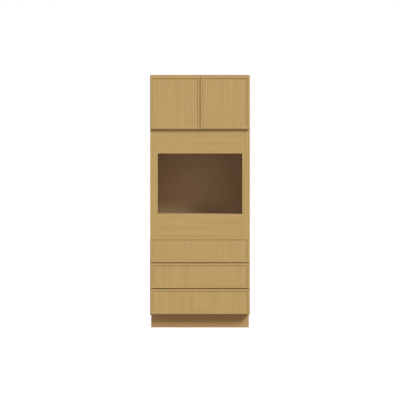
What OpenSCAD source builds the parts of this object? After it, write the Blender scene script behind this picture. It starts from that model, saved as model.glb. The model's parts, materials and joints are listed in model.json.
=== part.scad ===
/* [Cabinet] */
// Width of the cabinet across its face frame
cabinet_w = 838.2; // [780:1:900]
// Height of the cabinet from the floor
cabinet_h = 2133.6; // [2100:1:2200]
// Depth of the cabinet from its back to the front of the face frame
cabinet_d = 609.6; // [600:1:660]
// Thickness of the side panels
side_t = 12.7; // [12:0.1:19]
// Depth of the grooves and housings cut in the side panels
housing_d = 4; // [2:0.5:6]
// Distance that the face frame stands out past each side panel
frame_overhang = 4.8; // [1:0.1:8]
// Thickness of the top, the floor and the deck of the cupboard
deck_t = 12.7; // [12:0.1:19]
// Thickness of the deck that carries the oven
oven_deck_t = 19.05; // [16:0.05:25]
// Thickness of the back panel
back_t = 6.35; // [4:0.05:9]
// Thickness of the rails behind the back panel
hanging_rail_t = 12.7; // [10:0.1:19]
// Height of each rail behind the back panel
hanging_rail_h = 76.2; // [60:0.1:100]
// Width of the cleats under the oven deck
cleat_w = 19.05; // [15:0.05:25]
// Height of the cleats under the oven deck
cleat_h = 38.1; // [25:0.1:50]

/* [Toe space] */
// Height of the toe space
toe_h = 114.3; // [100:0.1:130]
// Distance of the toe board behind the front of the face frame
toe_recess = 76.2; // [60:0.1:90]
// Thickness of the toe board
toe_t = 12.7; // [10:0.1:19]

/* [Face frame] */
// Thickness of the face frame
frame_t = 19.05; // [18:0.05:22]
// Width of the stiles at the sides of the face frame
stile_w = 38.1; // [36:0.1:42]
// Width of the trim beside the oven's opening
trim_w = 25.4; // [20:0.1:32]
// Height of the face frame's rails
rail_h = 38.1; // [34:0.1:42]
// Height of the wide rail under the oven's opening
sill_h = 217.5; // [205:0.1:225]
// Height of the oven's opening
oven_h = 508; // [450:1:520]

/* [Doors and drawer fronts] */
// Distance from each side of the face frame to the doors and drawer fronts
front_reveal = 6.35; // [3:0.05:8]
// Gap between the face frame and the doors and drawer fronts
front_gap = 3; // [2.5:0.1:4]
// Thickness of the doors and drawer fronts
front_t = 20.6; // [20:0.1:22]
// Glue line between two boards in one joint
glue_gap = 0.1; // [0.05:0.01:0.2]
// Width of the slim frame around each door and drawer front
front_frame_w = 17.5; // [17:0.1:20]
// Depth of the recessed panel behind the front of its frame
panel_recess = 4.8; // [4:0.1:6.5]
// Gap between each recessed panel and the upright members beside it
panel_gap = 1.6; // [0.5:0.1:2.5]
// Radius of the eased outer edges
edge_r = 1.6; // [1:0.1:4]
// Length of the tongue around each recessed panel
tongue_l = 6; // [4:0.5:7]
// Depth of the tongue behind the front of its panel
tongue_set_back = 3; // [2:0.5:4]
// Thickness of the tongue around each recessed panel
tongue_t = 5; // [4:0.5:6]
// Height of the doors
door_h = 441; // [430:0.5:450]
// Distance from the top of the cabinet down to the doors
door_top_reveal = 14.6; // [6:0.1:19]
// Gap between the two doors
door_gap = 5; // [3:0.5:6]
// Height of each drawer front
drawer_front_h = 207.95; // [206:0.05:212]
// Gap between drawer fronts
drawer_gap = 7.95; // [4:0.05:10]
// Height of the lowest drawer front's bottom edge above the toe space
drawer_front_lift = 12.7; // [8:0.1:16]

/* [Drawers] */
// Thickness of the drawer sides, fronts and backs
box_t = 15.9; // [15:0.1:16]
// Height of the drawer boxes
box_h = 146; // [130:1:148]
// Free depth between the drawer boxes and the back panel
rear_space = 60.55; // [50:0.05:90]
// Gap between a drawer side and the stile's inner edge
box_side_gap = 5; // [4:0.1:6]
// Height of the drawer boxes above the bottom rail
box_lift = 14; // [12:0.5:16]
// Height of the drawer bottoms above the lower edge of the drawer sides
bottom_lift = 12.7; // [12:0.1:15]
// Thickness of the drawer bottoms
bottom_t = 6.35; // [5:0.05:9]
// Depth of the grooves for the drawer bottoms
groove_d = 6; // [4:0.5:8]
// Length of the dovetails at the drawer corners
dovetail_pitch = 36; // [30:1:46]
// Slope of the dovetails
dovetail_slope = 8; // [6:1:12]

/* [Runners] */
// Thickness of the runners' sheet steel
runner_sheet = 1.5; // [1.2:0.1:1.8]
// Width of the runners' drawer members
runner_w = 22; // [20:0.5:24]
// Height of the runners' drawer members
runner_h = 11; // [10:0.5:12]
// Gap between one runner member and the next
runner_gap = 0.5; // [0.3:0.1:1]
// Distance that each runner member starts behind the one that it carries
runner_step = 4; // [2:0.5:8]
// Distance of the runners' feet below the drawer sides
foot_drop = 3; // [2:0.5:4]
// Distance of the runners' front plates above the frame's rails
plate_lift = 2; // [1:0.5:4]
// Height of the runners' front plates
front_plate_h = 41; // [38:1:44]
// Distance of the runners' front plates from the back of the face frame
plate_short = 1; // [0.5:0.5:3]
// Distance of the runners' front ends behind the front of the face frame
runner_set_back = 2; // [1:0.5:4]
// Height of the lower screw on each front plate
runner_screw_lift = 13.7; // [12:0.1:16]
// Distance between the two screws at the front of each runner
runner_screw_pitch = 14; // [12:1:16]
// Width of the rear brackets
bracket_w = 30; // [28:1:34]
// Length of each runner that lies on its rear bracket
bracket_lap = 12; // [8:1:16]
// Height of the side wall of the rear brackets over the runners' feet
bracket_wall_h = 8; // [6:1:10]
// Distance of the rear brackets' screws from their edges
bracket_screw_inset = 8; // [6:0.5:9]
// Thickness of the rear brackets' walls
bracket_t = 3; // [2.5:0.5:4]
// Height of the rear brackets
bracket_h = 42; // [38:1:46]

/* [Shelf] */
// Thickness of the adjustable shelf
shelf_t = 19.05; // [16:0.05:22]
// Gap at each end of the adjustable shelf
shelf_gap = 1.5; // [1:0.1:3]
// Distance of the adjustable shelf behind the face frame
shelf_set_back = 20; // [10:1:60]
// Gap between the adjustable shelf and the back panel
shelf_back_gap = 3; // [1:0.5:6]
// Radius of the shelf pins
pin_r = 2.45; // [2.2:0.05:2.45]
// Length of the shelf pins
pin_l = 15; // [13:0.5:17]
// Depth of the shelf pin holes
pin_hole_d = 9.7; // [8:0.1:10]
// Distance of the shelf pin holes from the face frame and from the back panel
pin_inset = 60; // [50:1:80]
// Clearance around each shelf pin in its hole
pin_fit = 0.05; // [0.03:0.01:0.1]
// Distance between shelf pin holes
pin_pitch = 32; // [25:1:40]
// Number of shelf pin holes in each column
pin_rows = 7; // [5:2:9]

/* [Hinges] */
// Distance of each hinge from the end of its door
hinge_inset = 76.2; // [66:0.1:90]
// Radius of the hinge cups
cup_r = 17.5; // [17:0.1:17.8]
// Depth of the hinge cups
cup_d = 11.5; // [11.2:0.1:11.6]
// Distance of the cup's centre from the door's edge
cup_inset = 24; // [23.8:0.1:24.2]
// Wall of the hinge cups
cup_wall = 1; // [0.8:0.1:1]
// Floor of the hinge cups
cup_floor = 0.8; // [0.6:0.1:0.8]
// Thickness of the hinge arms
arm_t = 1.8; // [1.4:0.1:1.9]
// Width of the hinge arms
arm_w = 9; // [7:0.5:9]
// Radius of the hinge pins in the doors
door_pin_r = 1.5; // [1.2:0.1:1.6]
// Length of the hinge pins in the doors
door_pin_l = 18; // [16:0.5:19]
// Distance of the hinge pins in the doors from the door's edge
door_pin_u = 13.5; // [13.4:0.1:13.6]
// Depth of the hinge pins in the doors behind the door's front
door_pin_v = 14; // [13.9:0.1:14.1]
// Wall of the cups' cheeks around the pins in the doors
cheek_wall = 2.2; // [2:0.1:2.4]
// Wall of the arms' eyes around the pins in the doors
door_eye_wall = 1; // [0.8:0.1:1.2]
// Radius of the hinge pins in the base plates
plate_pin_r = 2; // [1.6:0.1:2.2]
// Distance of the hinge pins in the base plates from the door's edge
plate_pin_u = 46; // [45.9:0.1:46.1]
// Depth of the hinge pins in the base plates behind the front of the face frame
plate_pin_back = 14.4; // [14.3:0.1:14.5]
// Wall of the arms' eyes around the pins in the base plates
plate_eye_wall = 1.4; // [1.2:0.1:1.6]
// Wall of the base plates' ears around their pins
ear_wall = 2; // [1.6:0.1:2.2]
// Gap between a hinge arm and each ear or cheek beside it
arm_gap = 0.6; // [0.3:0.1:1]
// Clearance around each hinge pin
hinge_fit = 0.05; // [0.02:0.01:0.1]
// Thickness of the base plates
plate_t = 2; // [1.5:0.1:2.2]
// Length of the base plates along the stile
plate_l = 50; // [46:1:60]
// Width of the base plates, front to back
plate_w = 16; // [15:0.5:16]
// Distance of the base plates behind the front of the face frame
plate_set_back = 2.4; // [2.2:0.1:3]
// Distance of the base plates' screws from their ends
plate_screw_inset = 8; // [7:0.5:9]
// Distance of the hinge cups' wings from the cup's middle, along the door
wing_start = 9; // [8:0.5:10]
// Length of the hinge cups' wings
wing_l = 21; // [20:0.5:23]
// Width of the hinge cups' wings
wing_w = 12; // [11:0.5:13]
// Distance of the hinge cups' wings from the cup's middle, across the door
wing_offset = 3.5; // [3:0.5:4]
// Thickness of the hinge cups' wings
wing_t = 1.2; // [1:0.1:1.3]
// Distance of the wings' screws from the cup's middle, along the door
wing_screw_z = 24; // [23:0.5:25]

/* [Screws and bumpers] */
// Radius of the screws' shanks
screw_r = 1.7; // [1.5:0.1:2]
// Radius of the screws' heads
screw_head_r = 3.6; // [3:0.1:4]
// Thickness of the screws' heads
screw_head_t = 0.9; // [0.7:0.1:0.9]
// Length of the screws under their heads
screw_l = 12; // [10:0.5:14]
// Length of the hinge cups' screws under their heads
cup_screw_l = 9; // [8:0.5:10]
// Clearance around each screw in metal and wood
screw_fit = 0.1; // [0.05:0.01:0.2]
// Radius of the bumpers on the doors
bumper_r = 5; // [4:0.5:6]
// Gap left between a bumper and the face frame
bumper_gap = 0.3; // [0.1:0.1:0.5]
// Distance of the bumpers from the edges of their door
bumper_inset = 12; // [9:0.5:14]
// Radius of the wall fixing holes
wall_hole_r = 2.75; // [2:0.05:3.5]
// Distance between the wall fixing holes across the cabinet
wall_hole_pitch = 406.4; // [400:0.1:420]

/* [Hidden] */
$fn = 48;

// Colours as the photograph shows them
oak = "#BC9E68";
oak_edge = "#C0A270";
toe_oak = "#A88558";
inside = "#7A5D42";
zinc = "#B4B6B8";
dark_plastic = "#55565A";
clear_rubber = "#D8D8D2";

// How far each cut runs past what it cuts
past = 1;

// Depth places, with the whole depth centred on the origin
whole_d = cabinet_d + front_gap + front_t;
door_y = -whole_d / 2;
door_back_y = door_y + front_t;
frame_y = door_back_y + front_gap;
inner_y = frame_y + frame_t;
back_y = frame_y + cabinet_d;
rail_y = back_y - hanging_rail_t;
back_panel_y = rail_y - back_t;
toe_y = frame_y + toe_recess;

// Width places
frame_x = cabinet_w / 2;
side_x = frame_x - frame_overhang;
side_in_x = side_x - side_t;
stile_in_x = frame_x - stile_w;
trim_in_x = stile_in_x - trim_w;
panel_w = 2 * (side_in_x + housing_d);

// Heights, from the toe space up
front_pitch = drawer_front_h + drawer_gap;
first_front_z = toe_h + drawer_front_lift;
drawers_top_z = first_front_z + 3 * front_pitch - drawer_gap;
sill_z = drawers_top_z - rail_h / 2;
opening_z = sill_z + sill_h;
header_z = opening_z + oven_h;
door_z = cabinet_h - door_top_reveal - door_h;
header_top_z = door_z + rail_h / 2;
top_rail_z = cabinet_h - rail_h;
drawer_rail_z = [for (i = [1, 2]) first_front_z + i * front_pitch - drawer_gap / 2 - rail_h / 2];
top_under_z = cabinet_h - deck_t;
cupboard_h = top_under_z - header_top_z;
shelf_z = header_top_z + cupboard_h / 2;

// Drawer box places: the bottom edge of the lowest box stands over the bottom rail
box_w = 2 * (stile_in_x - box_side_gap);
box_in_x = box_w / 2 - box_t;
box_rise = toe_h + rail_h + box_lift - first_front_z;
front_w = cabinet_w - 2 * front_reveal;
tongue_v = panel_recess + tongue_set_back;
door_w = (front_w - door_gap) / 2;
box_y = door_back_y;
box_l = back_panel_y - rear_space - box_y;

// Runner places, beside the inner face of the drawer side and under the drawer bottom
runner_x = box_in_x - runner_gap - runner_w;
middle_x = runner_x + runner_sheet + runner_gap;
middle_w = runner_w - 2 * (runner_sheet + runner_gap);
middle_top = bottom_lift - runner_sheet - runner_gap;
cradle_x = middle_x + runner_sheet + runner_gap;
cradle_w = middle_w - 2 * (runner_sheet + runner_gap);
cradle_top = middle_top - runner_sheet - runner_gap;
runner_low = bottom_lift - runner_h;
foot_z = -foot_drop - runner_sheet;
runner_y = box_y + box_t;
runner_front_y = frame_y + runner_set_back;
runner_end_y = box_y + box_l;
plate_z = plate_lift - box_lift;

// Heights of the rails behind the back panel: one for each drawer's brackets, then the two for the wall
drawer_z = [for (i = [0:2]) first_front_z + i * front_pitch];
bracket_z = foot_z - bracket_t;
wall_rail_z = [opening_z - hanging_rail_h, cabinet_h - hanging_rail_h];
back_rail_z = concat([for (z = drawer_z) z + box_rise + bracket_z], wall_rail_z);

// Hinge places, with u from the door's edge and v from the door's front
stile_u = stile_w - front_reveal;
frame_v = front_t + front_gap;
plate_pin_v = frame_v + plate_pin_back;
cup_v = front_t - cup_d;
hinge_z = [hinge_inset, door_h - hinge_inset];
arm_path = [
    [0, 0], [3, -1.9], [8.5, -2.7], [13.5, -0.6], [20, 3.8], [26, 8.1], [30.3, 15],
    [plate_pin_u - door_pin_u, plate_pin_v - door_pin_v]
];
ear_z = arm_w / 2 + arm_gap;
plate_v = frame_v + plate_set_back;
plate_screw_z = plate_l / 2 - plate_screw_inset;
wing_u = cup_inset + wing_offset;
wing_v = front_t + wing_t;

// Shelf pin columns and rows
pin_y = [inner_y + pin_inset, back_panel_y - pin_inset];
pin_z = [for (i = [0:pin_rows - 1]) shelf_z + (i - (pin_rows - 1) / 2) * pin_pitch - pin_r];
pin_end_x = side_in_x + pin_hole_d;

// One half of a mirrored pair: the given side is drawn from the right-hand one
module on_side(side) {
    mirror([side == "left" ? 1 : 0, 0, 0]) children();
}

module both_sides() {
    for (side = ["left", "right"]) on_side(side) children();
}

// A box between two corners
module span(low, high) {
    translate(low) cube(high - low);
}

// A board across the cabinet that ends in the housings of both side panels
module housed_board(z, t, y_end = back_panel_y) {
    span([-panel_w / 2, inner_y, z], [panel_w / 2, y_end, z + t]);
}

// A round bar or hole along Y
module along_y(r, y0, y1) {
    translate([0, y0, 0]) rotate([-90, 0, 0]) cylinder(r = r, h = y1 - y0);
}

// A round bar or hole along X
module along_x(r, x0, x1) {
    translate([x0, 0, 0]) rotate([0, 90, 0]) cylinder(r = r, h = x1 - x0);
}

// A pan-head screw, its head resting on z = 0 and its shank going down by l
module screw(l) {
    cylinder(r = screw_head_r, h = screw_head_t);
    translate([0, 0, -l]) cylinder(r = screw_r, h = l);
}

module screw_hole(l) {
    translate([0, 0, -l - past]) cylinder(r = screw_r + screw_fit, h = l + 2 * past);
}

// Carcase

module side_panel() {
    color(inside) difference() {
        span([side_in_x, inner_y, 0], [side_x, back_y, cabinet_h]);
        span([side_in_x - past, inner_y - past, -past], [side_x + past, toe_y + toe_t, toe_h]);
        for (board = [[toe_h, deck_t], [opening_z - oven_deck_t, oven_deck_t],
                      [header_top_z - deck_t, deck_t], [top_under_z, deck_t + past]])
            span([side_in_x - past, inner_y - past, board[0]],
                 [side_in_x + housing_d, back_panel_y, board[0] + board[1]]);
        span([side_in_x - past, back_panel_y, toe_h],
             [side_in_x + housing_d, back_panel_y + back_t, cabinet_h + past]);
        for (y = pin_y, z = pin_z)
            translate([0, y, z]) along_x(pin_r + pin_fit, side_in_x - past, pin_end_x);
    }
}

module top_panel() {
    color(inside) housed_board(top_under_z, deck_t);
}

module upper_deck() {
    color(inside) housed_board(header_top_z - deck_t, deck_t);
}

module oven_deck() {
    color(inside) housed_board(opening_z - oven_deck_t, oven_deck_t);
}

module bottom_panel() {
    color(inside) housed_board(toe_h, deck_t);
}

module back_panel() {
    color(inside) difference() {
        span([-panel_w / 2, back_panel_y, toe_h], [panel_w / 2, rail_y, cabinet_h]);
        wall_holes();
        bracket_screw_places() screw_hole(screw_l);
    }
}

module toe_kick() {
    color(toe_oak) span([-side_x, toe_y, 0], [side_x, toe_y + toe_t, toe_h]);
}

module hanging_rails() {
    color(inside) difference() {
        for (z = back_rail_z)
            span([-side_in_x, rail_y, z], [side_in_x, back_y, z + hanging_rail_h]);
        wall_holes();
        bracket_screw_places() screw_hole(screw_l);
    }
}

module oven_deck_cleats() {
    color(inside) both_sides()
        span([side_in_x - cleat_w, inner_y, opening_z - oven_deck_t - cleat_h],
             [side_in_x, back_panel_y, opening_z - oven_deck_t]);
}

module wall_holes() {
    for (x = [-wall_hole_pitch / 2, wall_hole_pitch / 2], z = wall_rail_z)
        translate([x, 0, z + hanging_rail_h / 2])
            along_y(wall_hole_r, back_panel_y - past, back_y + past);
}

// Face frame

module frame_stile() {
    color(oak) difference() {
        span([stile_in_x, frame_y, toe_h], [frame_x, inner_y, cabinet_h]);
        plate_screw_places() screw_hole(screw_l);
        runner_screw_places() screw_hole(screw_l);
    }
}

module oven_trim() {
    color(oak) span([trim_in_x, frame_y, sill_z], [stile_in_x, inner_y, header_top_z]);
}

module frame_rail(half_w, z0, z1) {
    color(oak) span([-half_w, frame_y, z0], [half_w, inner_y, z1]);
}

module drawer_rails() {
    for (z = drawer_rail_z) frame_rail(stile_in_x, z, z + rail_h);
}

// Shelf

module adjustable_shelf() {
    color(inside)
        span([-side_in_x + shelf_gap, inner_y + shelf_set_back, shelf_z],
             [side_in_x - shelf_gap, back_panel_y - shelf_back_gap, shelf_z + shelf_t]);
}

module shelf_pins() {
    color(zinc) both_sides() for (y = pin_y)
        translate([0, y, shelf_z - pin_r]) along_x(pin_r, pin_end_x - pin_l, pin_end_x);
}

// Doors and drawer fronts: drawn from their lower outer corner, u across, v back and z up

// The section of a frame member: its outer front edge is eased, its inner side is grooved
module member_section(w) {
    difference() {
        square([w, front_t]);
        difference() {
            square(edge_r);
            translate([edge_r, edge_r]) circle(edge_r);
        }
        translate([w - tongue_l, tongue_v]) square([tongue_l + past, tongue_t]);
    }
}

// A frame member along an edge l long, mitred at both ends
module frame_member(l) {
    intersection() {
        linear_extrude(l) member_section(front_frame_w);
        rotate([-90, 0, 0]) mirror([0, 1, 0]) linear_extrude(front_t)
            polygon([
                [0, glue_gap], [0, l - glue_gap],
                [front_frame_w, l - front_frame_w - glue_gap], [front_frame_w, front_frame_w + glue_gap]
            ]);
    }
}

module lower_member(w) {
    translate([w, 0, 0]) rotate([0, -90, 0]) frame_member(w);
}

module upper_member(w, h) {
    translate([0, 0, h]) rotate([0, 90, 0]) frame_member(w);
}

module outer_member(h) {
    frame_member(h);
}

module inner_member(w, h) {
    translate([w, 0, h]) rotate([0, 180, 0]) frame_member(h);
}

// The recessed panel of a front w wide and h high, with its tongue
module recessed_panel(w, h) {
    f = front_frame_w;
    span([f + panel_gap, panel_recess, f], [w - f - panel_gap, front_t, h - f]);
    span([f - tongue_l, tongue_v, f - tongue_l],
         [w - f + tongue_l, tongue_v + tongue_t, h - f + tongue_l]);
}

// Places a door's own u, v and z at the right-hand end of the cabinet
module at_door() {
    translate([front_w / 2, door_y, door_z]) mirror([1, 0, 0]) children();
}

module cup_holes() {
    for (z = hinge_z)
        translate([cup_inset, 0, z]) along_y(cup_r + screw_fit, cup_v, front_t + past);
    cup_screw_places() screw_hole(cup_screw_l);
}

module door_hinge_stile() {
    color(oak) at_door() difference() {
        outer_member(door_h);
        cup_holes();
    }
}

module door_meeting_stile() {
    color(oak) at_door() inner_member(door_w, door_h);
}

module door_top_rail() {
    color(oak) at_door() difference() {
        upper_member(door_w, door_h);
        cup_holes();
    }
}

module door_bottom_rail() {
    color(oak) at_door() difference() {
        lower_member(door_w);
        cup_holes();
    }
}

module door_panel() {
    color(oak_edge) at_door() difference() {
        recessed_panel(door_w, door_h);
        cup_holes();
    }
}

// The inside of a hinge cup, with a cheek left at each end of the pin
module cup_inside() {
    difference() {
        translate([cup_inset, 0, 0]) along_y(cup_r - cup_wall, cup_v + cup_floor, wing_v + past);
        for (s = [-1, 1]) mirror([0, 0, s < 0 ? 1 : 0])
            span([0, cup_v, ear_z],
                 [door_pin_u + cheek_wall, door_pin_v + cheek_wall, cup_r]);
    }
}

// A hinge cup set in the back of the door, with its two wings
module hinge_cup() {
    difference() {
        union() {
            translate([cup_inset, 0, 0]) along_y(cup_r, cup_v, front_t);
            for (s = [-1, 1]) mirror([0, 0, s < 0 ? 1 : 0])
                span([wing_u, front_t, wing_start], [wing_u + wing_w, wing_v, wing_start + wing_l]);
        }
        cup_inside();
        translate([door_pin_u, door_pin_v, -door_pin_l / 2 - hinge_fit])
            cylinder(r = door_pin_r + hinge_fit, h = door_pin_l + 2 * hinge_fit);
        for (s = [-1, 1]) translate([wing_u + wing_w / 2, wing_v, s * wing_screw_z])
            rotate([-90, 0, 0]) screw_hole(wing_t);
    }
}

module cup_screw_places() {
    for (z = hinge_z, s = [-1, 1])
        translate([wing_u + wing_w / 2, wing_v, z + s * wing_screw_z]) rotate([-90, 0, 0]) children();
}

module door_hinge_cups() {
    color(zinc) at_door() {
        for (z = hinge_z) translate([0, 0, z]) hinge_cup();
        cup_screw_places() screw(cup_screw_l);
    }
}

module door_bumpers() {
    color(clear_rubber) at_door() for (z = [bumper_inset, door_h - bumper_inset])
        translate([door_w - bumper_inset, 0, z]) along_y(bumper_r, front_t, frame_v - bumper_gap);
}

// The direction square to the arm at point i, as long as half the arm's thickness needs at a bend
function arm_side(i) =
    let (n = len(arm_path),
         before = i == 0 ? arm_path[1] - arm_path[0] : arm_path[i] - arm_path[i - 1],
         after = i == n - 1 ? before : arm_path[i + 1] - arm_path[i],
         turn = before / norm(before) + after / norm(after),
         along = turn / norm(turn),
         half = arm_t / 2 / (along * after / norm(after)))
    [-along[1], along[0]] * half;

module arm_strip() {
    last = len(arm_path) - 1;
    polygon(concat(
        [for (i = [0:last]) arm_path[i] + arm_side(i)],
        [for (i = [last:-1:0]) arm_path[i] - arm_side(i)]
    ));
}

module hinge_arm() {
    translate([door_pin_u, door_pin_v, -arm_w / 2]) linear_extrude(arm_w) {
        arm_strip();
        circle(door_pin_r + door_eye_wall);
        translate(arm_path[len(arm_path) - 1]) circle(plate_pin_r + plate_eye_wall);
    }
    translate([door_pin_u, door_pin_v, -door_pin_l / 2]) cylinder(r = door_pin_r, h = door_pin_l);
    translate([plate_pin_u, plate_pin_v, -ear_z - plate_t])
        cylinder(r = plate_pin_r, h = 2 * (ear_z + plate_t));
}

module hinge_arms() {
    color(zinc) at_door() for (z = hinge_z) translate([0, 0, z]) hinge_arm();
}

// A base plate on the stile's inner edge, with two ears for the arm's pin
module hinge_plate() {
    ear_r = plate_pin_r + ear_wall;
    difference() {
        union() {
            span([stile_u, plate_v, -plate_l / 2], [stile_u + plate_t, plate_v + plate_w, plate_l / 2]);
            for (s = [-1, 1]) mirror([0, 0, s < 0 ? 1 : 0]) {
                span([stile_u, plate_pin_v - ear_r, ear_z],
                     [plate_pin_u, plate_pin_v + ear_r, ear_z + plate_t]);
                translate([plate_pin_u, plate_pin_v, ear_z]) cylinder(r = ear_r, h = plate_t);
            }
        }
        translate([plate_pin_u, plate_pin_v, -plate_l / 2])
            cylinder(r = plate_pin_r + hinge_fit, h = plate_l);
        plate_screws() screw_hole(plate_t);
    }
}

module plate_screws() {
    for (s = [-1, 1]) translate([stile_u + plate_t, plate_v + plate_w / 2, s * plate_screw_z])
        rotate([0, 90, 0]) children();
}

module hinge_plates() {
    color(zinc) both_sides() at_door() for (z = hinge_z) translate([0, 0, z]) hinge_plate();
}

module plate_screw_places() {
    at_door() for (z = hinge_z) translate([0, 0, z]) plate_screws() children();
}

// Drawers: drawn with z from the lower edge of the drawer box

module at_drawer(i) {
    translate([0, 0, drawer_z[i] + box_rise]) children();
}

module drawer_front_frame(i) {
    color(oak) translate([-front_w / 2, door_y, drawer_z[i]]) {
        outer_member(drawer_front_h);
        inner_member(front_w, drawer_front_h);
        upper_member(front_w, drawer_front_h);
        lower_member(front_w);
    }
}

module drawer_front_panel(i) {
    color(oak_edge) translate([-front_w / 2, door_y, drawer_z[i]]) recessed_panel(front_w, drawer_front_h);
}

// The pins that a front or back board has in a drawer corner, seen from the side, with all
// their edges drawn in by inset
module dovetail_pins(inset) {
    slant = box_t * tan(dovetail_slope);
    narrow = (dovetail_pitch - slant) / 2 - inset;
    count = floor(box_h / dovetail_pitch);
    start = (box_h - count * dovetail_pitch) / 2;
    intersection() {
        square([box_t - inset, box_h]);
        for (k = [0:count])
            translate([0, start + k * dovetail_pitch]) polygon([
                [0, -narrow / 2], [box_t, -narrow / 2 - slant / 2],
                [box_t, narrow / 2 + slant / 2], [0, narrow / 2]
            ]);
    }
}

// Pins through the thickness of a drawer side, at its front end
module corner_pins(inset = 0) {
    translate([box_in_x - inset, box_y, 0]) rotate([90, 0, 90])
        linear_extrude(box_t + inset) dovetail_pins(inset);
}

// Turns what is drawn for the front of a drawer box to its back
module at_box_back() {
    translate([0, 2 * box_y + box_l, 0]) mirror([0, 1, 0]) children();
}

module bottom_groove() {
    span([-box_in_x - groove_d, box_y + box_t - groove_d, bottom_lift],
         [box_in_x + groove_d, box_y + box_l + past, bottom_lift + bottom_t]);
}

module drawer_side() {
    difference() {
        span([box_in_x, box_y, 0], [box_in_x + box_t, box_y + box_l, box_h]);
        corner_pins();
        at_box_back() corner_pins();
        bottom_groove();
    }
}

// The front or back board of a drawer box, with its pins
module drawer_end() {
    span([-box_in_x + glue_gap, box_y, 0], [box_in_x - glue_gap, box_y + box_t, box_h]);
    both_sides() corner_pins(glue_gap);
}

module drawer_box(i) {
    color(oak_edge) at_drawer(i) {
        both_sides() drawer_side();
        difference() {
            drawer_end();
            bottom_groove();
        }
        difference() {
            at_box_back() drawer_end();
            span([-box_w, box_y, -past], [box_w, box_y + box_l + past, bottom_lift + bottom_t]);
        }
    }
}

module drawer_bottom(i) {
    color(inside) at_drawer(i)
        span([-box_in_x - groove_d, box_y + box_t - groove_d, bottom_lift],
             [box_in_x + groove_d, box_y + box_l, bottom_lift + bottom_t]);
}

// Runners: the drawer member caps the middle member, which caps the cabinet member

// A sheet channel along the drawer, open below
module channel(x, w, y0, y1, low, top) {
    difference() {
        span([x, y0, low], [x + w, y1, top]);
        span([x + runner_sheet, y0 - past, low - past],
             [x + w - runner_sheet, y1 + past, top - runner_sheet]);
    }
}

module drawer_runners(i) {
    color(zinc) at_drawer(i) both_sides()
        channel(runner_x, runner_w, runner_y, runner_end_y, runner_low, bottom_lift);
}

module middle_runners(i) {
    color(zinc) at_drawer(i) both_sides()
        channel(middle_x, middle_w, runner_y + runner_step, runner_end_y - runner_step,
                runner_low - runner_sheet, middle_top);
}

// The cabinet member: a channel on a foot that reaches under the drawer side to the stile
module cabinet_runner() {
    foot_y = runner_y + 2 * runner_step;
    wall_x = stile_in_x - runner_sheet;
    channel(cradle_x, cradle_w, foot_y, runner_end_y, foot_z, cradle_top);
    difference() {
        union() {
            span([cradle_x + cradle_w - runner_sheet, foot_y, foot_z],
                 [stile_in_x, runner_end_y, foot_z + runner_sheet]);
            span([wall_x, runner_front_y, plate_z], [stile_in_x, runner_end_y, foot_z + runner_sheet]);
            span([wall_x, runner_front_y, plate_z],
                 [stile_in_x, inner_y - plate_short, plate_z + front_plate_h]);
        }
        runner_screws() screw_hole(runner_sheet);
    }
}

module cabinet_runners() {
    color(zinc) for (i = [0:2]) at_drawer(i) both_sides() cabinet_runner();
}

module runner_screws() {
    for (k = [-0.5, 0.5])
        translate([stile_in_x - runner_sheet, frame_y + frame_t / 2,
                   runner_screw_lift + k * runner_screw_pitch])
            rotate([0, -90, 0]) children();
}

module runner_screw_places() {
    for (i = [0:2]) at_drawer(i) runner_screws() children();
}

// The plastic socket that carries a cabinet runner's rear end and screws to the back
module rear_bracket() {
    x = cradle_x - bracket_t;
    difference() {
        union() {
            span([x, runner_end_y - bracket_lap, bracket_z], [x + bracket_w, back_panel_y, foot_z]);
            span([x, back_panel_y - bracket_t, bracket_z],
                 [x + bracket_w, back_panel_y, bracket_z + bracket_h]);
            span([x, runner_end_y, bracket_z], [x + bracket_t, back_panel_y, foot_z + bracket_wall_h]);
        }
        bracket_screws() screw_hole(bracket_t);
    }
}

module bracket_screws() {
    x = cradle_x - bracket_t;
    for (screw_x = [x + bracket_screw_inset, x + bracket_w - bracket_screw_inset])
        translate([screw_x, back_panel_y - bracket_t, bracket_z + bracket_h - bracket_screw_inset])
            rotate([90, 0, 0]) children();
}

module bracket_screw_places() {
    for (i = [0:2]) at_drawer(i) both_sides() bracket_screws() children();
}

module rear_runner_brackets() {
    color(dark_plastic) for (i = [0:2]) at_drawer(i) both_sides() rear_bracket();
}

module cabinet_screws() {
    color(zinc) {
        both_sides() plate_screw_places() screw(screw_l);
        both_sides() runner_screw_places() screw(screw_l);
        bracket_screw_places() screw(screw_l);
    }
}

on_side("left") side_panel();  // left_side_panel
on_side("right") side_panel();  // right_side_panel
top_panel();
upper_deck();
oven_deck();
bottom_panel();
back_panel();
toe_kick();
on_side("left") frame_stile();  // left_stile
on_side("right") frame_stile();  // right_stile
on_side("left") oven_trim();  // left_oven_trim
on_side("right") oven_trim();  // right_oven_trim
frame_rail(stile_in_x, top_rail_z, cabinet_h);  // top_rail
frame_rail(trim_in_x, header_z, header_top_z);  // oven_header
frame_rail(trim_in_x, sill_z, opening_z);  // oven_sill
drawer_rails();
frame_rail(stile_in_x, toe_h, toe_h + rail_h);  // bottom_rail
hanging_rails();
oven_deck_cleats();
adjustable_shelf();
shelf_pins();
cabinet_runners();
rear_runner_brackets();
hinge_plates();
cabinet_screws();
on_side("left") door_hinge_stile();  // left_door_hinge_stile
on_side("left") door_meeting_stile();  // left_door_meeting_stile
on_side("left") door_top_rail();  // left_door_top_rail
on_side("left") door_bottom_rail();  // left_door_bottom_rail
on_side("left") door_panel();  // left_door_panel
on_side("left") door_hinge_cups();  // left_door_hinge_cups
on_side("left") door_bumpers();  // left_door_bumpers
on_side("left") hinge_arms();  // left_hinge_arms
on_side("right") door_hinge_stile();  // right_door_hinge_stile
on_side("right") door_meeting_stile();  // right_door_meeting_stile
on_side("right") door_top_rail();  // right_door_top_rail
on_side("right") door_bottom_rail();  // right_door_bottom_rail
on_side("right") door_panel();  // right_door_panel
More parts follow.
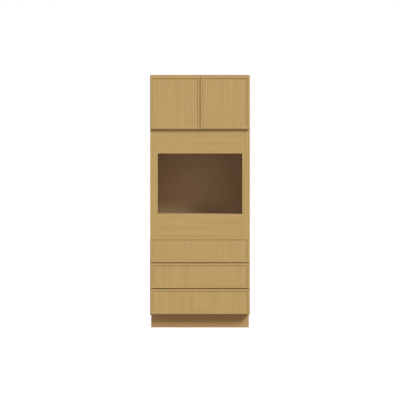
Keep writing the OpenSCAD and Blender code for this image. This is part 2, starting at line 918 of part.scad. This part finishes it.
on_side("right") door_hinge_cups();  // right_door_hinge_cups
on_side("right") door_bumpers();  // right_door_bumpers
on_side("right") hinge_arms();  // right_hinge_arms
drawer_front_frame(2);  // drawer_1_front_frame
drawer_front_panel(2);  // drawer_1_front_panel
drawer_box(2);  // drawer_1_box
drawer_bottom(2);  // drawer_1_bottom
drawer_runners(2);  // drawer_1_runners
middle_runners(2);  // drawer_1_middle_runners
drawer_front_frame(1);  // drawer_2_front_frame
drawer_front_panel(1);  // drawer_2_front_panel
drawer_box(1);  // drawer_2_box
drawer_bottom(1);  // drawer_2_bottom
drawer_runners(1);  // drawer_2_runners
middle_runners(1);  // drawer_2_middle_runners
drawer_front_frame(0);  // drawer_3_front_frame
drawer_front_panel(0);  // drawer_3_front_panel
drawer_box(0);  // drawer_3_box
drawer_bottom(0);  // drawer_3_bottom
drawer_runners(0);  // drawer_3_runners
middle_runners(0);  // drawer_3_middle_runners
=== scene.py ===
import itertools
import json
import math

import bpy
from mathutils import Matrix, Vector

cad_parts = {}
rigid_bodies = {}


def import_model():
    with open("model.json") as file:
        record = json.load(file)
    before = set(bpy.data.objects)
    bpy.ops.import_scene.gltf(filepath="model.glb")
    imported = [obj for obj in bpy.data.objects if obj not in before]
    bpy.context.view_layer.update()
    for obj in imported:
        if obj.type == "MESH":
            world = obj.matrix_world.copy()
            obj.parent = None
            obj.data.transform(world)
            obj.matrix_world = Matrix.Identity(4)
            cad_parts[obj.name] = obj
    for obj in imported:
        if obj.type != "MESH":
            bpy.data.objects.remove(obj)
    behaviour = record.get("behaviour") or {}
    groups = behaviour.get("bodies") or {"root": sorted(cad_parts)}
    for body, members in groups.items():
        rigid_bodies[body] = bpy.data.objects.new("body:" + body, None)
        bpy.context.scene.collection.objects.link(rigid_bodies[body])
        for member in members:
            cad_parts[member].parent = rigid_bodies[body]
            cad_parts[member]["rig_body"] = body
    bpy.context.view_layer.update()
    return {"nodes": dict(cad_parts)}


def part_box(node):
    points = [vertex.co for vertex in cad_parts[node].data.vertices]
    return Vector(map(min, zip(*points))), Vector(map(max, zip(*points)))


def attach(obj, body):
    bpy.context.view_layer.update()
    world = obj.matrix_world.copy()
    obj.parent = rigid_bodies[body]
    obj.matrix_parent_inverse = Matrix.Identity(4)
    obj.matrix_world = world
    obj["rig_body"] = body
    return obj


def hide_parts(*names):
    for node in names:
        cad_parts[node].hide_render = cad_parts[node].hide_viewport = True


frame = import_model()
bpy.ops.object.select_all(action="DESELECT")

# Side panels
# Each is a sheet of plywood, oak outside and pale birch inside, with a toe notch, housings for the decks,
# a groove for the back and two columns of shelf pin holes. The plies show on its sawn edges.
MM = 0.001


def linear(hex_colour):
    """An sRGB hex colour as the linear values that a shader takes."""
    parts = [int(hex_colour[i:i + 2], 16) / 255 for i in (1, 3, 5)]
    return [c / 12.92 if c <= 0.04045 else ((c + 0.055) / 1.055) ** 2.4 for c in parts] + [1.0]


def add(tree, kind, sockets=None, **settings):
    """Adds a node with its settings, and fills its sockets with values or with other nodes' outputs."""
    made = tree.nodes.new(kind)
    for name, value in settings.items():
        setattr(made, name, value)
    for name, value in (sockets or {}).items():
        if isinstance(value, bpy.types.NodeSocket):
            tree.links.new(value, made.inputs[name])
        else:
            made.inputs[name].default_value = value
    return made


def lacquered_wood(name, grain, colours, plies=None, roughness=0.5, stripe_mm=8, band_mm=34,
                   contrast=1.2, pore_depth=0.45):
    """Straight-grained wood under a matt lacquer: grain is the axis that the fibres follow.

    colours are pale wood, dark wood, pores and end grain. plies is the axis through a plywood board.
    Growth rings cut as close lines 2 to 3 mm apart, and pores of 0.2 mm, are too fine to show from far
    off, so the lines are gathered into stripes of stripe_mm and the pores are drawn wider. The stripes
    vary in bands of band_mm. contrast and pore_depth are how strongly the figure and the pores show.
    """
    drifts_per_metre = (9, 9, 1.6)
    drift_mm = 12
    line_mm = 2.2
    pore_mm = 0.5
    end_pores_per_mm = 1.1
    stripe_share = 0.8
    line_share = 0.42
    pore_relief_mm = 0.08
    pale, dark, pore, end = (linear(c) for c in colours)
    material = bpy.data.materials.new(name)
    material.use_nodes = True
    tree = material.node_tree
    shader = tree.nodes["Principled BSDF"]
    place = add(tree, "ShaderNodeTexCoord")
    board = add(tree, "ShaderNodeAttribute", attribute_name="board_shift")
    own = add(tree, "ShaderNodeVectorMath", {0: place.outputs["Object"], 1: board.outputs["Vector"]},
              operation="ADD")
    turned = {"X": (0, math.radians(90), 0), "Y": (math.radians(90), 0, 0), "Z": (0, 0, 0)}[grain]
    along = add(tree, "ShaderNodeMapping", {"Vector": own.outputs[0], "Rotation": turned})

    # Slow drift of the fibres by a few millimetres, so that no stripe is ruler-straight
    drift = add(tree, "ShaderNodeTexNoise", {
        "Vector": add(tree, "ShaderNodeMapping", {
            "Vector": along.outputs[0], "Scale": drifts_per_metre}).outputs[0],
        "Scale": 1.0, "Detail": 1.0})
    bend = add(tree, "ShaderNodeVectorMath", {
        0: along.outputs[0],
        1: add(tree, "ShaderNodeVectorMath", {
            0: drift.outputs["Color"], 1: (drift_mm * MM, drift_mm * MM, 0.0)},
            operation="MULTIPLY").outputs[0]},
        operation="ADD")

    # Broad bands of the cut, growth stripes, the lines in them, and fine open pores: the width and length
    # of each in millimetres, and its detail
    layers = {}
    for layer, width, length, detail in (
            ("bands", band_mm, 1600, 1.0), ("stripes", stripe_mm, 1100, 1.5), ("lines", line_mm, 500, 2.0),
            ("pores", pore_mm, 14, 1.0)):
        across = 1 / (width * MM)
        layers[layer] = add(tree, "ShaderNodeTexNoise", {
            "Vector": add(tree, "ShaderNodeMapping", {
                "Vector": bend.outputs[0], "Scale": (across, across, 1 / (length * MM))}).outputs[0],
            "Scale": 1.0, "Detail": detail, "Roughness": 0.55})
    figure = {}
    for layer, spread in (("bands", 0.25), ("stripes", 0.2), ("lines", 0.2)):
        figure[layer] = add(tree, "ShaderNodeMapRange", {
            "Value": layers[layer].outputs["Fac"], "From Min": 0.5 - spread, "From Max": 0.5 + spread})
    broad = add(tree, "ShaderNodeMix", {
        "Factor": stripe_share, "A": figure["bands"].outputs[0], "B": figure["stripes"].outputs[0]},
        data_type="FLOAT")
    whole = add(tree, "ShaderNodeMix", {
        "Factor": line_share, "A": broad.outputs["Result"], "B": figure["lines"].outputs[0]},
        data_type="FLOAT")
    depth = add(tree, "ShaderNodeMapRange", {
        "Value": whole.outputs["Result"], "To Min": 0.5 - contrast / 2, "To Max": 0.5 + contrast / 2})
    wood = add(tree, "ShaderNodeMix", {
        "Factor": depth.outputs[0], "A": pale, "B": dark}, data_type="RGBA")
    open_pores = add(tree, "ShaderNodeMapRange", {
        "Value": layers["pores"].outputs["Fac"], "From Min": 0.59, "From Max": 0.68,
        "To Max": pore_depth})
    colour = add(tree, "ShaderNodeMix", {
        "Factor": open_pores.outputs[0], "A": wood.outputs["Result"], "B": pore}, data_type="RGBA")

    # End grain where a face is cut across the fibres. Its pores are drawn four times as wide, to show
    facing = add(tree, "ShaderNodeSeparateXYZ", {"Vector": place.outputs["Normal"]})
    across_fibres = add(tree, "ShaderNodeMath", {
        0: add(tree, "ShaderNodeMath", {0: facing.outputs[grain]}, operation="ABSOLUTE").outputs[0],
        1: 0.8}, operation="GREATER_THAN")
    speckle = add(tree, "ShaderNodeTexNoise", {
        "Vector": place.outputs["Object"], "Scale": end_pores_per_mm / MM, "Detail": 2.0})
    end_fac = add(tree, "ShaderNodeMapRange", {
        "Value": speckle.outputs["Fac"], "From Min": 0.35, "From Max": 0.65, "To Min": 0.55, "To Max": 1.0})
    end_mix = add(tree, "ShaderNodeMath", {
        0: across_fibres.outputs[0], 1: end_fac.outputs[0]}, operation="MULTIPLY")
    colour = add(tree, "ShaderNodeMix", {
        "Factor": end_mix.outputs[0], "A": colour.outputs["Result"], "B": end}, data_type="RGBA")

    # Plies where a face is cut across the sheet
    if plies:
        ply_mm = 1.6
        face_ply = linear("#C29E6C")
        core_ply = linear("#94704A")
        split = add(tree, "ShaderNodeSeparateXYZ", {"Vector": place.outputs["Object"]})
        wave = add(tree, "ShaderNodeMath", {
            0: add(tree, "ShaderNodeMath", {
                0: split.outputs[plies], 1: math.pi / (ply_mm * MM)}, operation="MULTIPLY").outputs[0]},
            operation="SINE")
        ply = add(tree, "ShaderNodeMapRange", {
            "Value": wave.outputs[0], "From Min": -0.25, "From Max": 0.25})
        ply_colour = add(tree, "ShaderNodeMix", {
            "Factor": ply.outputs[0], "A": face_ply, "B": core_ply}, data_type="RGBA")
        edge = add(tree, "ShaderNodeMath", {
            0: add(tree, "ShaderNodeMath", {0: facing.outputs[plies]}, operation="ABSOLUTE").outputs[0],
            1: 0.5}, operation="LESS_THAN")
        colour = add(tree, "ShaderNodeMix", {
            "Factor": edge.outputs[0], "A": colour.outputs["Result"],
            "B": ply_colour.outputs["Result"]}, data_type="RGBA")

    # Matt lacquer, a little duller on the dark lines, that sinks into the pores
    gloss = add(tree, "ShaderNodeMapRange", {
        "Value": figure["lines"].outputs[0], "To Min": roughness - 0.04, "To Max": roughness + 0.06})
    relief = add(tree, "ShaderNodeBump", {
        "Height": add(tree, "ShaderNodeMath", {
            0: open_pores.outputs[0], 1: -1.0}, operation="MULTIPLY").outputs[0],
        "Strength": 0.35, "Distance": pore_relief_mm * MM})
    for socket, value in {"Base Color": colour.outputs["Result"], "Roughness": gloss.outputs[0],
                          "Normal": relief.outputs[0]}.items():
        tree.links.new(value, shader.inputs[socket])
    shader.inputs["IOR"].default_value = 1.5
    shader.inputs["Specular IOR Level"].default_value = 0.3
    return material


def separate_solids(mesh):
    """The faces of each separate solid of a mesh."""
    owner = list(range(len(mesh.vertices)))

    def first(vertex):
        while owner[vertex] != vertex:
            owner[vertex] = owner[owner[vertex]]
            vertex = owner[vertex]
        return vertex

    for edge in mesh.edges:
        owner[first(edge.vertices[0])] = first(edge.vertices[1])
    solids = {}
    for face in mesh.polygons:
        solids.setdefault(first(face.vertices[0]), []).append(face)
    return list(solids.values())


def box_of(mesh, faces):
    """The lowest and highest corner of some of a mesh's faces."""
    points = [mesh.vertices[v].co for face in faces for v in face.vertices]
    return (Vector([min(p[i] for p in points) for i in range(3)]),
            Vector([max(p[i] for p in points) for i in range(3)]))


def copy_of(node):
    """A copy of a node's solids with its doubles merged, active and selected."""
    piece = bpy.data.objects.new(node + "_finished", frame["nodes"][node].data.copy())
    bpy.context.scene.collection.objects.link(piece)
    bpy.ops.object.select_all(action="DESELECT")
    piece.select_set(True)
    bpy.context.view_layer.objects.active = piece
    bpy.ops.object.mode_set(mode="EDIT")
    bpy.ops.mesh.select_all(action="SELECT")
    bpy.ops.mesh.remove_doubles(threshold=0.01 * MM)
    bpy.ops.mesh.dissolve_limited(angle_limit=math.radians(1))
    bpy.ops.object.mode_set(mode="OBJECT")
    return piece


def eased(piece, edge_mm, rounds=2):
    """Breaks a piece's sharp edges as sandpaper or a tool's radius does, and smooths its round faces."""
    if edge_mm:
        bevel = piece.modifiers.new("eased_edges", "BEVEL")
        bevel.width = edge_mm * MM
        bevel.segments = rounds
        bevel.limit_method = "ANGLE"
        bevel.angle_limit = math.radians(40)
        bpy.ops.object.modifier_apply(modifier=bevel.name)
    bpy.ops.object.shade_smooth_by_angle(angle=math.radians(32))
    flat = piece.modifiers.new("flat_faces", "WEIGHTED_NORMAL")
    flat.keep_sharp = True
    flat.weight = 100
    bpy.ops.object.modifier_apply(modifier=flat.name)
    return piece


def stands_for(piece, node):
    """Makes a finished piece take its node's place, on the same body."""
    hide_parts(node)
    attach(piece, frame["nodes"][node]["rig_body"])
    return piece


board_numbers = itertools.count(1)


def wooden(node, woods, edge_mm=0.3, rounds=2):
    """A node's boards with eased edges, each in the wood that runs along it and with grain of its own.

    woods is one material, or a material for each axis that a board of the node may run along.
    """
    next_piece_of_grain = Vector((0.173, 0.291, 0.437))
    piece = eased(copy_of(node), edge_mm, rounds)
    mesh = piece.data
    mesh.materials.clear()
    axes = sorted(woods) if isinstance(woods, dict) else []
    for wood in [woods[a] for a in axes] or [woods]:
        mesh.materials.append(wood)
    shift = mesh.attributes.new("board_shift", "FLOAT_VECTOR", "POINT")
    for faces in separate_solids(mesh):
        offset = next_piece_of_grain * next(board_numbers)
        low, high = box_of(mesh, faces)
        size = high - low
        longest = "XYZ"[list(size).index(max(size))]
        for face in faces:
            face.material_index = axes.index(longest) if axes else 0
            for v in face.vertices:
                shift.data[v].vector = offset
    return stands_for(piece, node)


# Rotary-cut birch veneer: pale and quiet with a faint rosy tone. Rift-cut white oak: straight honey
# stripes and fine open pores, with little gloss.
PLY_COLOURS = ("#CAB08C", "#BCA07B", "#9E815E", "#A98B67")
OAK = ("#C6A86E", "#B1935B", "#96774A", "#A58651")
side_ply = lacquered_wood("Birch-faced plywood, upright grain", "Z", PLY_COLOURS, plies="X", roughness=0.55)
side_oak = lacquered_wood("Rift oak on plywood, upright grain", "Z", OAK, plies="X")
for side, outward in (("left", -1), ("right", 1)):
    panel = wooden(side + "_side_panel", side_ply, 0.3, 1)
    panel.data.materials.append(side_oak)
    outer_face = outward * max(abs(corner[0]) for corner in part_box(side + "_side_panel"))
    for face in panel.data.polygons:
        if abs(face.center.x - outer_face) < 0.1 * MM:
            face.material_index = 1

# Decks, top, floor and shelf
# Boards of birch-faced plywood with their grain across the cabinet, glued into the housings of the side
# panels. The shelf lies loose on its pins, and its front edge is banded with oak.
deck_ply = lacquered_wood("Birch-faced plywood, grain across", "X", PLY_COLOURS, plies="Z", roughness=0.55)
for deck in ("top_panel", "upper_deck", "oven_deck", "bottom_panel"):
    wooden(deck, deck_ply, 0.3, 1)
oak_across = lacquered_wood("Rift oak veneer, grain across", "X", OAK)
shelf = wooden("adjustable_shelf", deck_ply, 0.4, 2)
shelf.data.materials.append(oak_across)
for face in shelf.data.polygons:
    if face.normal.y < -0.9:
        face.material_index = 1

# Back panel, with rails behind it
# A thin sheet of the same plywood in the grooves of the side panels. Plain birch plywood rails behind it
# take the wall screws and the screws of the runner brackets; cleats of it carry the oven's deck.
back_ply = lacquered_wood("Birch-faced plywood back, upright grain", "Z", PLY_COLOURS, plies="Y",
                          roughness=0.55, contrast=0.7)
wooden("back_panel", back_ply, 0)
# Plain birch plywood: paler and yellower than the faced boards, with a duller sheen
BIRCH = ("#D2B98E", "#C0A274", "#A88A5C", "#A5875A")
wooden("hanging_rails", lacquered_wood("Birch plywood, grain across", "X", BIRCH, plies="Y",
                                       roughness=0.6), 0.3, 1)
wooden("oven_deck_cleats", lacquered_wood("Birch plywood, grain along", "Y", BIRCH, plies="X",
                                          roughness=0.6), 0.3, 1)

# Toe board
# A strip of plywood nailed over the notches of the side panels, set back to leave room for toes. It is
# faced with rift oak coloured slightly darker and redder than the fronts, with a quieter figure.
TOE_OAK = ("#C09E69", "#AC8A57", "#917049", "#A17E4E")
wooden("toe_kick", lacquered_wood("Rift oak toe board", "X", TOE_OAK, contrast=0.8), 0.4)

# Face frame
# Oak stiles and rails glued up flat and sanded flush, with slim trim strips that widen the stiles beside
# the oven's opening. The frame is glued to the front edges of the carcase.
oak_upright = lacquered_wood("Rift oak veneer, upright grain", "Z", OAK)
for upright in ("left_stile", "right_stile", "left_oven_trim", "right_oven_trim"):
    wooden(upright, oak_upright)
for rail in ("top_rail", "oven_header", "oven_sill", "drawer_rails", "bottom_rail"):
    wooden(rail, oak_across)

# Shelf pins
# Four plain turned steel pins with eased ends, bright nickel-plated, pushed into the holes of the side
# panels. The shelf rests on them by its own weight.


def plated_steel(name, hex_colour, roughness, grit_mm, uneven=0.05, spangle_mm=None):
    """Plated steel: a smooth sheen with fine pressing marks, and zinc crystals where it is hot-dipped.

    The marks are about 0.1 mm apart on the real steel, and are drawn grit_mm apart, so that they show.
    """
    tone_mm = 18
    material = bpy.data.materials.new(name)
    material.use_nodes = True
    tree = material.node_tree
    shader = tree.nodes["Principled BSDF"]
    shader.inputs["Metallic"].default_value = 1.0
    place = add(tree, "ShaderNodeTexCoord")
    grit = add(tree, "ShaderNodeTexNoise", {
        "Vector": place.outputs["Object"], "Scale": 1 / (grit_mm * MM), "Detail": 4.0})
    tone = add(tree, "ShaderNodeTexNoise", {
        "Vector": place.outputs["Object"], "Scale": 1 / (tone_mm * MM), "Detail": 2.0})
    base = linear(hex_colour)
    dull = [c * 0.82 for c in base[:3]] + [1.0]
    colour = add(tree, "ShaderNodeMix", {
        "Factor": add(tree, "ShaderNodeMapRange", {
            "Value": tone.outputs["Fac"], "From Min": 0.35, "From Max": 0.65}).outputs[0],
        "A": base, "B": dull}, data_type="RGBA")
    if spangle_mm:
        dark_crystal = linear("#8E9294")
        crystals = add(tree, "ShaderNodeTexVoronoi", {
            "Vector": place.outputs["Object"], "Scale": 1 / (spangle_mm * MM)})
        flake = add(tree, "ShaderNodeSeparateColor", {"Color": crystals.outputs["Color"]})
        colour = add(tree, "ShaderNodeMix", {
            "Factor": add(tree, "ShaderNodeMath", {0: flake.outputs[0], 1: 0.3},
                          operation="MULTIPLY").outputs[0],
            "A": colour.outputs["Result"], "B": dark_crystal}, data_type="RGBA")
    tree.links.new(colour.outputs["Result"], shader.inputs["Base Color"])
    worn = add(tree, "ShaderNodeMapRange", {
        "Value": grit.outputs["Fac"], "To Min": roughness - uneven, "To Max": roughness + uneven})
    tree.links.new(worn.outputs[0], shader.inputs["Roughness"])
    relief = add(tree, "ShaderNodeBump", {
        "Height": grit.outputs["Fac"], "Strength": 0.12, "Distance": 0.05 * MM})
    tree.links.new(relief.outputs[0], shader.inputs["Normal"])
    return material


def hardware(node, finish, edge_mm, rounds=2):
    """A node's metal or plastic solids with the small radius that pressing or moulding leaves."""
    piece = eased(copy_of(node), edge_mm, rounds)
    piece.data.materials.clear()
    piece.data.materials.append(finish)
    return stands_for(piece, node)


# Bright nickel mirrors its surroundings, with a slightly warm tint
bright_nickel = plated_steel("Bright nickel plate, turned", "#C9C7C1", 0.22, 0.3)
hardware("shelf_pins", bright_nickel, 0.4, 3)

# Runners on the cabinet's side, with their rear brackets
# Steel sections, hot-dipped in zinc to a cool, dull grey with crystals 5 mm across. Each has a foot that
# reaches to the stile, and its rear end sits in a moulded grey nylon socket on the back.
zinc_sheet = plated_steel("Hot-dip zinc-coated sheet steel", "#B9BCBE", 0.4, 0.4, 0.08, spangle_mm=5)
hardware("cabinet_runners", zinc_sheet, 0.25)


def moulded(name, hex_colour, roughness, grain_mm, **constants):
    """Moulded plastic: a fine even sparking texture from the tool, with a soft sheen.

    The texture's real grain is about 0.1 mm, and it is drawn grain_mm wide, so that it shows.
    """
    material = bpy.data.materials.new(name)
    material.use_nodes = True
    tree = material.node_tree
    shader = tree.nodes["Principled BSDF"]
    place = add(tree, "ShaderNodeTexCoord")
    grain = add(tree, "ShaderNodeTexNoise", {
        "Vector": place.outputs["Object"], "Scale": 1 / (grain_mm * MM), "Detail": 3.0})
    base = linear(hex_colour)
    colour = add(tree, "ShaderNodeMix", {
        "Factor": grain.outputs["Fac"], "A": base, "B": [c * 0.86 for c in base[:3]] + [1.0]},
        data_type="RGBA")
    tree.links.new(colour.outputs["Result"], shader.inputs["Base Color"])
    sheen = add(tree, "ShaderNodeMapRange", {
        "Value": grain.outputs["Fac"], "To Min": roughness - 0.05, "To Max": roughness + 0.05})
    tree.links.new(sheen.outputs[0], shader.inputs["Roughness"])
    relief = add(tree, "ShaderNodeBump", {
        "Height": grain.outputs["Fac"], "Strength": 0.2, "Distance": 0.06 * MM})
    tree.links.new(relief.outputs[0], shader.inputs["Normal"])
    for socket, value in constants.items():
        shader.inputs[socket].default_value = value
    return material


# Moulded nylon is a dark, even grey with a waxy sheen
grey_nylon = moulded("Grey nylon, moulded", "#55565A", 0.5, 0.5, IOR=1.53)
hardware("rear_runner_brackets", grey_nylon, 0.6)

# Hinge plates and all the cabinet's screws
# Stamped plates with two ears for the arm's pin, nickel-plated to a warm, soft glint. The screws are pan
# heads, zinc-plated brighter and more neutral. Their cross recess is made once and copied to each head.
bright_zinc = plated_steel("Bright zinc plate, cold-headed", "#CDCDC8", 0.28, 0.25)
nickel_sheet = plated_steel("Nickel-plated sheet steel, stamped", "#C6C3BC", 0.3, 0.35)
hardware("hinge_plates", nickel_sheet, 0.35)


def faces_where(piece, test):
    """Selects just the faces that pass a test, ready for an edit-mode operator."""
    bpy.ops.object.mode_set(mode="EDIT")
    bpy.ops.mesh.select_mode(type="FACE")
    bpy.ops.mesh.select_all(action="DESELECT")
    bpy.ops.object.mode_set(mode="OBJECT")
    for face in piece.data.polygons:
        face.select = test(face)
    bpy.ops.object.mode_set(mode="EDIT")


def cross_driver_tip():
    """The tapered tip of a cross-head driver, pointing down through z = 0, to cut a screw's recess."""
    blade = (0.75 * MM, 3.8 * MM, 2.4 * MM)
    taper = (0.6, 0.35, 1.0)
    bpy.ops.object.select_all(action="DESELECT")
    bpy.ops.mesh.primitive_cube_add(size=1, location=(0, 0, 0))
    tip = bpy.context.object
    bpy.ops.object.mode_set(mode="EDIT")
    bpy.ops.mesh.select_all(action="SELECT")
    bpy.ops.transform.resize(value=blade)
    faces_where(tip, lambda f: f.normal.z < -0.9)
    bpy.ops.transform.resize(value=taper)
    bpy.ops.mesh.select_all(action="SELECT")
    bpy.ops.mesh.duplicate()
    bpy.ops.transform.rotate(value=math.radians(90), orient_axis="Z", center_override=(0, 0, 0))
    bpy.ops.object.mode_set(mode="OBJECT")
    return tip


def with_screws(node, finish, screw_finish, edge_mm):
    """A node of metal whose screws get rounded heads, a cross recess each and a finish of their own.

    A screw is known by the flat disc of its head. Each recess is turned on from the last, in radians, as
    no two screws stop at the same angle.
    """
    head_r = 3.6 * MM
    turn_on = 0.9
    piece = copy_of(node)
    heads = [(face.center.copy(), face.normal.copy()) for face in piece.data.polygons
             if abs(face.area - math.pi * head_r ** 2) < 1.0 * MM ** 2]
    eased(piece, edge_mm)
    tip = cross_driver_tip()
    tips = []
    for count, (middle, out) in enumerate(heads):
        cut = bpy.data.objects.new("recess_%d" % count, tip.data.copy())
        bpy.context.scene.collection.objects.link(cut)
        cut.data.transform(Matrix.Translation(middle) @ out.to_track_quat("Z", "Y").to_matrix().to_4x4()
                           @ Matrix.Rotation(turn_on * count, 4, "Z"))
        tips.append(cut)
    bpy.data.objects.remove(tip)
    bpy.ops.object.select_all(action="DESELECT")
    for cut in tips:
        cut.select_set(True)
    cutter = tips[0]
    bpy.context.view_layer.objects.active = cutter
    bpy.ops.object.join()
    for part in (piece, cutter):
        part.data.materials.clear()
        part.data.materials.append(finish)
        part.data.materials.append(screw_finish)
    for face in piece.data.polygons:
        near = [middle for middle, out in heads if (face.center - middle).length < 1.1 * head_r]
        face.material_index = 1 if near else 0
    for face in cutter.data.polygons:
        face.material_index = 1
    bpy.ops.object.select_all(action="DESELECT")
    piece.select_set(True)
    bpy.context.view_layer.objects.active = piece
    recess = piece.modifiers.new("cross_recess", "BOOLEAN")
    recess.object = cutter
    recess.operation = "DIFFERENCE"
    recess.solver = "EXACT"
    recess.use_self = True
    bpy.ops.object.modifier_apply(modifier=recess.name)
    eased(piece, 0)
    bpy.data.objects.remove(cutter)
    return stands_for(piece, node)


with_screws("cabinet_screws", bright_zinc, bright_zinc, 0.35)

# Doors
# Slim mitred oak frames around a panel veneered with upright rift oak, lacquered matt all over. Nickel
# hinge cups are pressed into their backs, and two clear bumpers stand at each door's meeting edge.
door_oak = {"X": oak_across, "Z": oak_upright}
# Clear polyurethane lets the oak behind it show through, slightly clouded
clear_bumper = moulded("Clear soft polyurethane", "#DCDCD6", 0.25, 0.8, IOR=1.49,
                       **{"Transmission Weight": 0.55})
for side in ("left", "right"):
    for board in ("hinge_stile", "meeting_stile", "top_rail", "bottom_rail"):
        wooden(side + "_door_" + board, door_oak)
    wooden(side + "_door_panel", oak_upright)
    with_screws(side + "_door_hinge_cups", nickel_sheet, bright_zinc, 0.3)
    hardware(side + "_door_bumpers", clear_bumper, 1.1, 4)

# Hinge arms
# Pressed nickel-plated steel arms with a rolled eye at each end. One pin holds each in its cup in the
# door, and one in the ears of its plate on the cabinet.
for side in ("left", "right"):
    hardware(side + "_hinge_arms", nickel_sheet, 0.25)

# Drawer fronts
# Made as the doors are, each from four mitred frame members and an upright-grained panel, and fixed to
# the front board of its drawer box.
for k in (1, 2, 3):
    wooden("drawer_%d_front_frame" % k, door_oak)
    wooden("drawer_%d_front_panel" % k, oak_upright)

# Drawer boxes
# Solid maple boards, dovetailed at the corners and satin lacquered, around a maple plywood bottom that
# slides in a groove from behind.
MAPLE = ("#DEC59B", "#D0B384", "#BD9D6C", "#BC9C6C")
# Creamy and very even, with pores that hardly show and a satin sheen
maple = {axis: lacquered_wood("Maple board, grain along " + axis, axis, MAPLE, roughness=0.4,
                              stripe_mm=5, band_mm=40, contrast=0.8, pore_depth=0.12)
         for axis in "XY"}
maple_ply = lacquered_wood("Maple plywood, grain across", "X", MAPLE, plies="Z", roughness=0.42,
                           stripe_mm=6, band_mm=60, contrast=0.8, pore_depth=0.1)
for k in (1, 2, 3):
    wooden("drawer_%d_box" % k, maple, 0.6)
    wooden("drawer_%d_bottom" % k, maple_ply, 0)

# Runners on the drawers
# Zinc-coated steel channels: one under each drawer's side, and one between it and the cabinet's runner,
# which slides out half as far as the drawer.
for k in (1, 2, 3):
    hardware("drawer_%d_runners" % k, zinc_sheet, 0.25)
    hardware("drawer_%d_middle_runners" % k, zinc_sheet, 0.25)

# Floor, light and camera
# A pale floor that the camera sees as white, a soft key light from the upper right of the camera, a weak
# fill from the left, a faint light from the front, two lamps behind for the back and sides, and hardly
# any sky. The camera stands square to the front, as in the photo.
bpy.ops.object.select_all(action="DESELECT")
bpy.ops.mesh.primitive_plane_add(size=60, location=(0, 0, 0))
floor = bpy.context.object
floor.name = "studio_floor"
floor_paint = bpy.data.materials.new("Pale studio floor")
floor_paint.use_nodes = True
floor_tree = floor_paint.node_tree
pale_floor = floor_tree.nodes["Principled BSDF"]
pale_floor.inputs["Base Color"].default_value = linear("#BEB6B9")
pale_floor.inputs["Roughness"].default_value = 0.9
# The tenth that isn't painted white keeps the cabinet's shadow on the floor
WHITE_SHARE = 0.9
WHITE_STRENGTH = 1.08
floor_rays = add(floor_tree, "ShaderNodeLightPath")
white = add(floor_tree, "ShaderNodeEmission", {"Color": (1, 1, 1, 1), "Strength": WHITE_STRENGTH})
seen_white = add(floor_tree, "ShaderNodeMath", {
    0: floor_rays.outputs["Is Camera Ray"], 1: WHITE_SHARE}, operation="MULTIPLY")
mixed = add(floor_tree, "ShaderNodeMixShader", {
    0: seen_white.outputs[0], 1: pale_floor.outputs[0], 2: white.outputs[0]})
floor_tree.links.new(mixed.outputs[0], floor_tree.nodes["Material Output"].inputs["Surface"])
floor.data.materials.append(floor_paint)

world = bpy.data.worlds.new("Even sky")
bpy.context.scene.world = world
world.use_nodes = True
sky_tree = world.node_tree
sky = sky_tree.nodes["Background"]
sky.inputs["Color"].default_value = (1, 1, 1, 1)
# White to the camera and in metal and clear plastic, and nearly dark as a light
SKY_STRENGTH = 0.03
sky_rays = add(sky_tree, "ShaderNodeLightPath")
seen_or_mirrored = add(sky_tree, "ShaderNodeMath", {
    0: sky_rays.outputs["Is Camera Ray"], 1: sky_rays.outputs["Is Glossy Ray"]}, operation="MAXIMUM")
seen_sky = add(sky_tree, "ShaderNodeMath", {
    0: seen_or_mirrored.outputs[0], 1: sky_rays.outputs["Is Transmission Ray"]}, operation="MAXIMUM")
strength = add(sky_tree, "ShaderNodeMapRange", {
    "Value": seen_sky.outputs[0], "To Min": SKY_STRENGTH, "To Max": 1.0})
sky_tree.links.new(strength.outputs[0], sky.inputs["Strength"])

# Each lamp's degrees round from the front to the right, height and angular size in degrees, and strength
for name, azimuth, height, angle, energy in (
        ("key_light", 41, 37.5, 20, 2.92),
        ("fill_light", -46, 30, 24, 0.42),
        ("front_light", 2, 6, 60, 0.24),
        ("back_light", 160, 12, 40, 1.7),
        ("back_fill_light", -115, 12, 40, 2.2)):
    sun_data = bpy.data.lights.new(name, "SUN")
    sun_data.energy = energy
    sun_data.angle = math.radians(angle)
    sun = bpy.data.objects.new(name, sun_data)
    bpy.context.scene.collection.objects.link(sun)
    around = math.radians(azimuth)
    up = math.radians(height)
    towards = Vector((math.sin(around) * math.cos(up), -math.cos(around) * math.cos(up), math.sin(up)))
    sun.rotation_euler = towards.to_track_quat("Z", "Y").to_euler()

# Distance from the face frame and height above the floor, in metres, and the lens that fills the frame as
# the photo does
CAMERA_DISTANCE = 7.8
CAMERA_HEIGHT = 1.0818
LENS_MM = 83.5
frame_front_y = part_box("left_stile")[0].y
camera_data = bpy.data.cameras.new("camera")
camera_data.lens = LENS_MM
camera_data.clip_end = 100
camera = bpy.data.objects.new("camera", camera_data)
bpy.context.scene.collection.objects.link(camera)
camera.location = (0, frame_front_y - CAMERA_DISTANCE, CAMERA_HEIGHT)
camera.rotation_euler = (math.radians(90), 0, 0)
bpy.context.scene.camera = camera
bpy.context.scene.view_settings.view_transform = "Standard"
